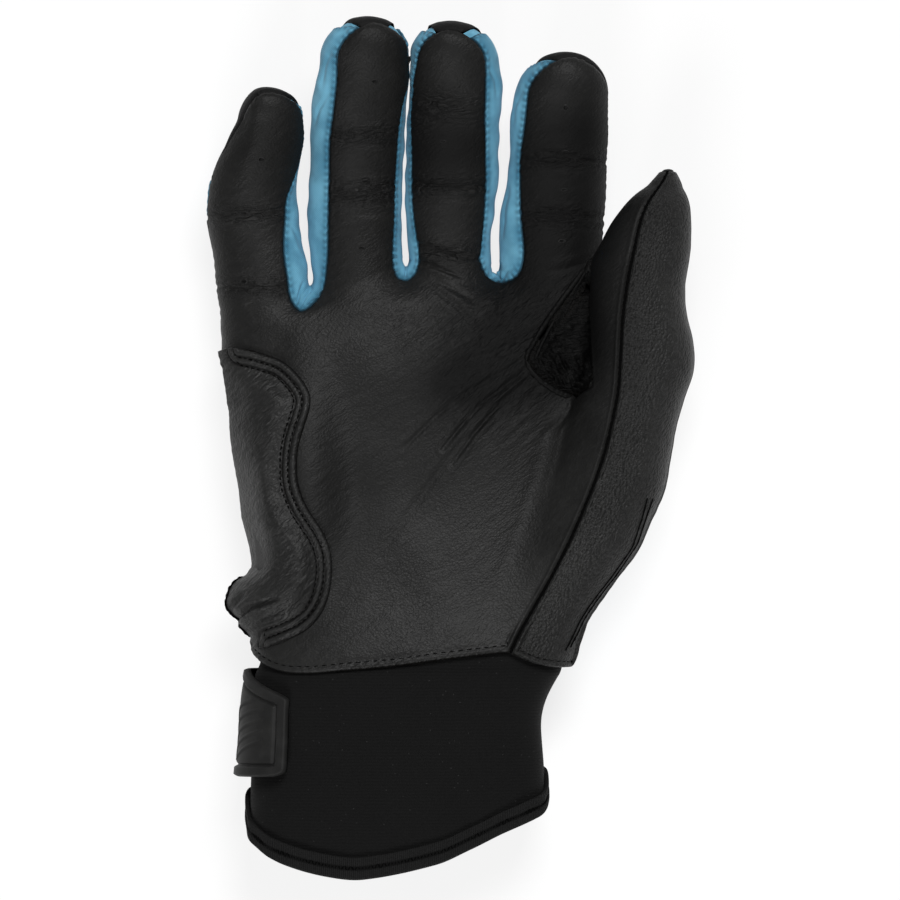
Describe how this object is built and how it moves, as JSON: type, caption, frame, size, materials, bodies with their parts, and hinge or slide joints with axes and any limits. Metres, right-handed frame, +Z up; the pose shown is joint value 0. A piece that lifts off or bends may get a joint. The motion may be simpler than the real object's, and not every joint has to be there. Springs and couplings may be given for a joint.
{
  "type": "batting glove",
  "caption": "Right-hand batting glove lying palm up: leather palm, stretch pieces between the fingers, padded heel patch and a neoprene cuff closed by a wrap-round strap with a moulded tab.",
  "frame": {"origin": "bottom centre of the bounding box, on the surface the glove lies on", "axes": "+X towards the thumb side, +Y from the cuff to the fingertips, +Z up out of the palm; the glove lies on its back"},
  "size_m": [0.1362, 0.2394, 0.0464],
  "materials": {
    "black_leather": "soft full-grain leather, fine grain, satin",
    "grain_leather": "pebbled leather, satin",
    "blue_fabric": "ribbed stretch knit, matt",
    "back_fabric": "synthetic leather with a fine knit texture, matt",
    "foam": "closed-cell foam sheet, matt",
    "neoprene": "laminated neoprene, very matt",
    "tape": "ribbed woven tape, matt",
    "loop_pile": "napped loop pile, matt",
    "hook_tape": "hook tape, matt",
    "moulded_rubber": "moulded rubber, satin"
  },
  "bodies": {
    "hand": {"palm_leather": "black_leather", "fourchette_pinky_ring": "blue_fabric", "fourchette_ring_middle": "blue_fabric", "fourchette_middle_index": "blue_fabric", "thumb_outer": "grain_leather", "thumb_back": "back_fabric", "thumb_gusset": "black_leather", "back_leather": "back_fabric", "wrist_trim": "blue_fabric", "knuckle_pinky": "blue_fabric", "knuckle_ring": "blue_fabric", "knuckle_middle": "blue_fabric", "knuckle_index": "blue_fabric", "tip_pinky": "back_fabric", "tip_ring": "back_fabric", "tip_middle": "back_fabric", "tip_index": "back_fabric", "heel_patch": "black_leather", "heel_pad": "foam", "cuff_body": "neoprene", "cuff_binding": "tape", "loop_patch": "loop_pile"},
    "strap": {"strap_band": "tape"},
    "tab": {"pull_tab": "moulded_rubber", "hook_pad": "hook_tape"}
  },
  "joints": [
    {"name": "strap_open", "type": "hinge", "parent": "hand", "child": "strap", "pos_m": [0.0001, -0.0764, 0.0056], "axis": [0, -1, 0], "range_deg": [0, 70]},
    {"name": "tab_peel", "type": "hinge", "parent": "strap", "child": "tab", "pos_m": [-0.0427, -0.07642, 0.0033], "axis": [0, -1, 0], "range_deg": [0, 140]}
  ],
  "couplings": [
    {"joint": "strap_open", "follows": "tab_peel", "ratio": 0.5}
  ]
}
